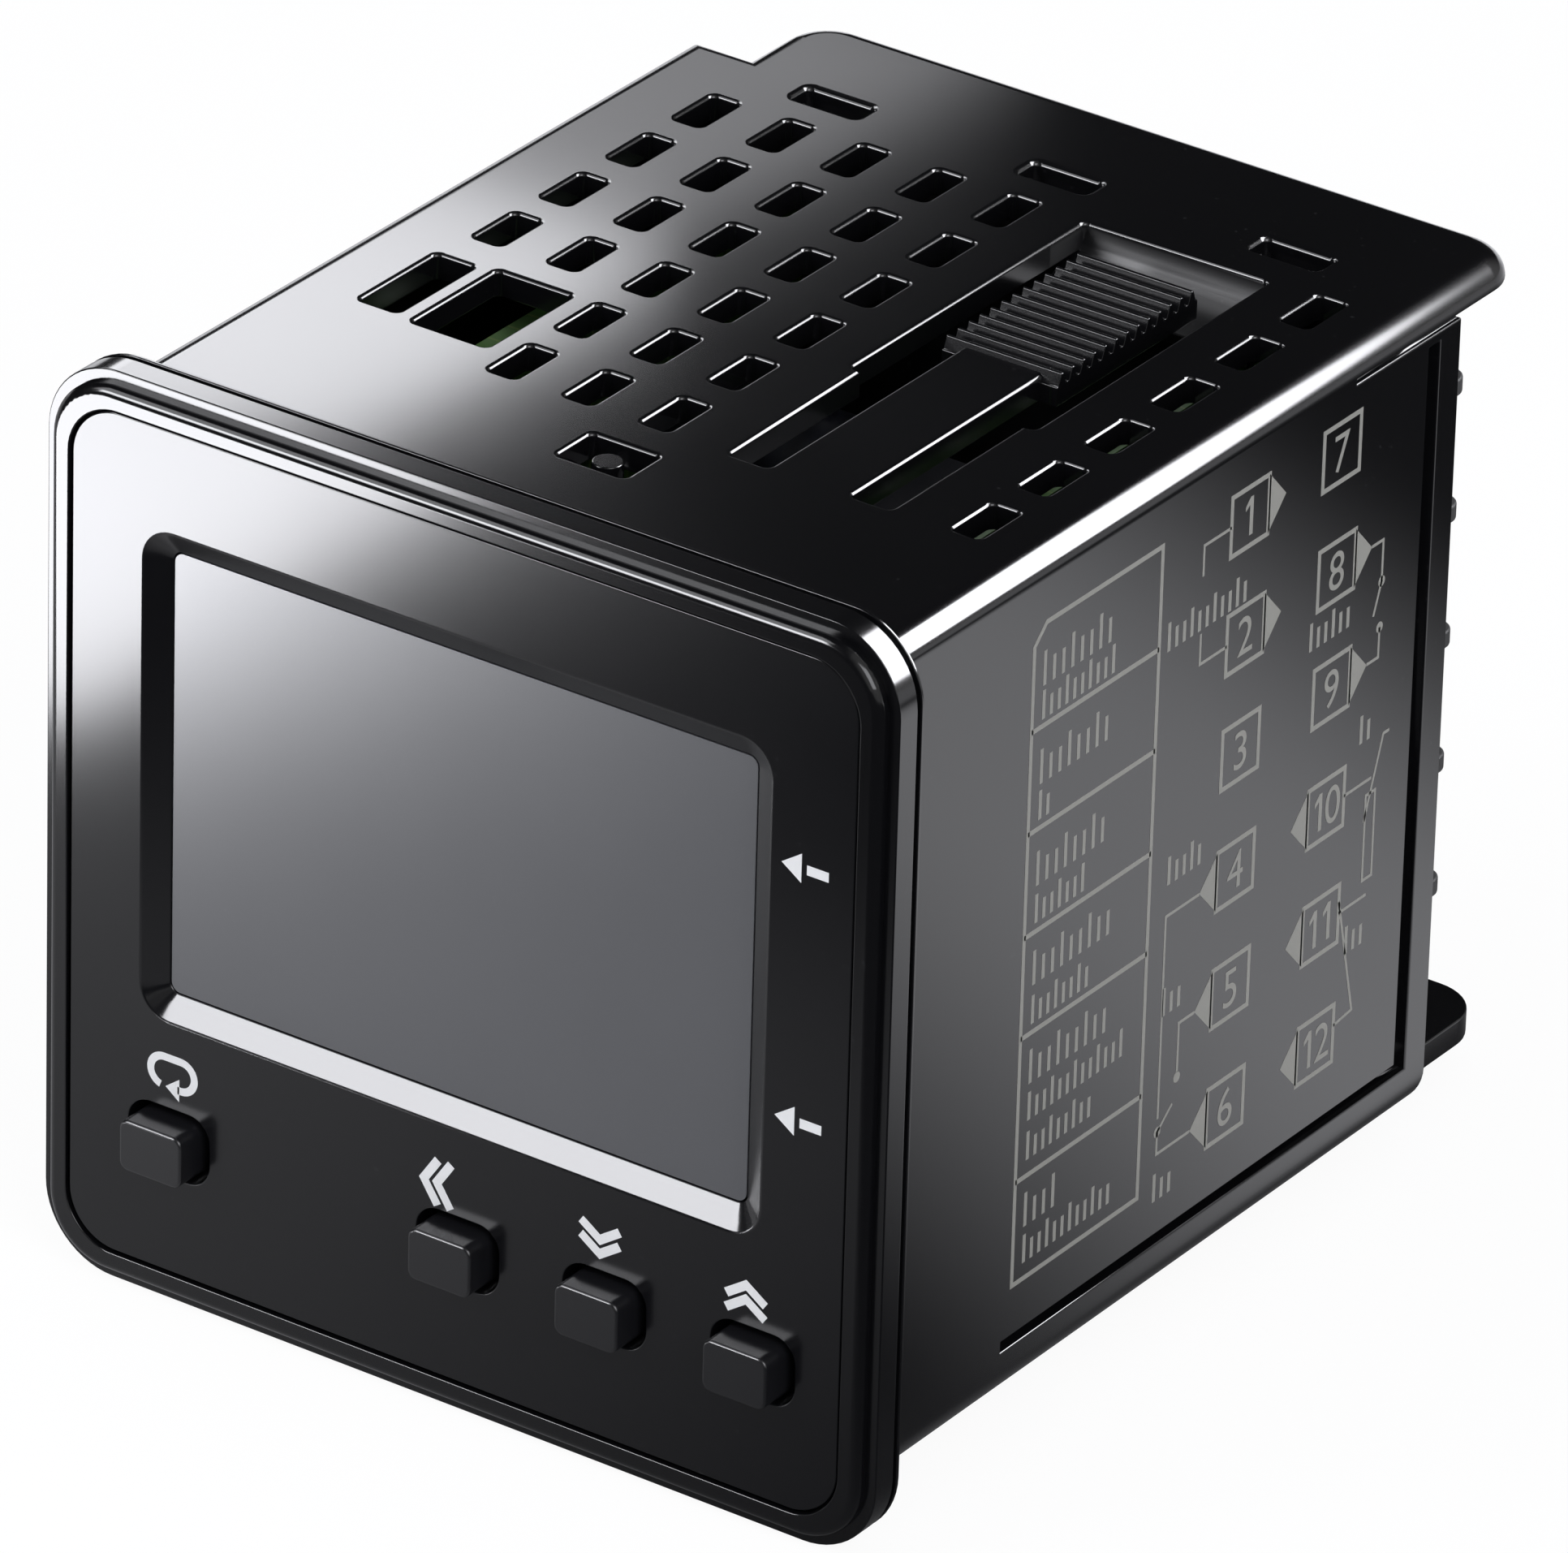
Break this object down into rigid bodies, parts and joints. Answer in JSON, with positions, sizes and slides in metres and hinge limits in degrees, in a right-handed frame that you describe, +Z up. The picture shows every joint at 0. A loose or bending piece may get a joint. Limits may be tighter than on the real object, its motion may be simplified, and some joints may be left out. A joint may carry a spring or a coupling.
{
  "type": "pid temperature controller",
  "caption": "Panel-mounted temperature controller: square bezel with display window and push keys, vented box case with a spring tongue, screw terminals between two lips at the rear.",
  "frame": {"origin": "middle of the case section in the plane where the bezel meets the panel", "axes": "+X right seen from the front, +Y into the panel towards the terminals, +Z up"},
  "size_m": [0.048, 0.0599, 0.048],
  "materials": {
    "case_plastic": "gloss",
    "bezel_plastic": "gloss",
    "panel_plastic": "gloss",
    "lens_plastic": "gloss",
    "key_plastic": "satin",
    "plunger_plastic": "satin",
    "display_glass": "gloss",
    "light_guide": "matte",
    "circuit_board": "satin",
    "black_resin": "matte",
    "copper_wire": "satin",
    "core_iron": "matte",
    "relay_plastic": "satin",
    "capacitor_can": "satin",
    "terminal_plastic": "satin",
    "terminal_metal": "satin",
    "screw_steel": "satin"
  },
  "bodies": {
    "controller": {"case": "case_plastic", "bezel": "bezel_plastic", "front_panel": "panel_plastic", "window_lens": "lens_plastic", "lcd_glass": "display_glass", "backlight": "light_guide", "display_board": "circuit_board", "controller_chip": "black_resin", "power_board": "circuit_board", "input_board": "circuit_board", "power_header": "black_resin", "input_header": "black_resin", "transformer_winding": "copper_wire", "transformer_core": "core_iron", "output_relay": "relay_plastic", "alarm_relay": "relay_plastic", "filter_capacitor": "capacitor_can", "supply_capacitor": "capacitor_can", "terminal_block": "terminal_plastic", "terminal_plates": "terminal_metal", "terminal_screws": "screw_steel", "loop_switch": "black_resin", "shift_switch": "black_resin", "down_switch": "black_resin", "up_switch": "black_resin"},
    "loop_button": {"loop_key": "key_plastic", "loop_plunger": "plunger_plastic"},
    "shift_button": {"shift_key": "key_plastic", "shift_plunger": "plunger_plastic"},
    "down_button": {"down_key": "key_plastic", "down_plunger": "plunger_plastic"},
    "up_button": {"up_key": "key_plastic", "up_plunger": "plunger_plastic"}
  },
  "joints": [
    {"name": "loop_press", "type": "slide", "parent": "controller", "child": "loop_button", "axis": [0, 1, 0], "range_m": [0, 0.0004], "stiffness_N_per_m": 400},
    {"name": "shift_press", "type": "slide", "parent": "controller", "child": "shift_button", "axis": [0, 1, 0], "range_m": [0, 0.0004], "stiffness_N_per_m": 400},
    {"name": "down_press", "type": "slide", "parent": "controller", "child": "down_button", "axis": [0, 1, 0], "range_m": [0, 0.0004], "stiffness_N_per_m": 400},
    {"name": "up_press", "type": "slide", "parent": "controller", "child": "up_button", "axis": [0, 1, 0], "range_m": [0, 0.0004], "stiffness_N_per_m": 400}
  ]
}
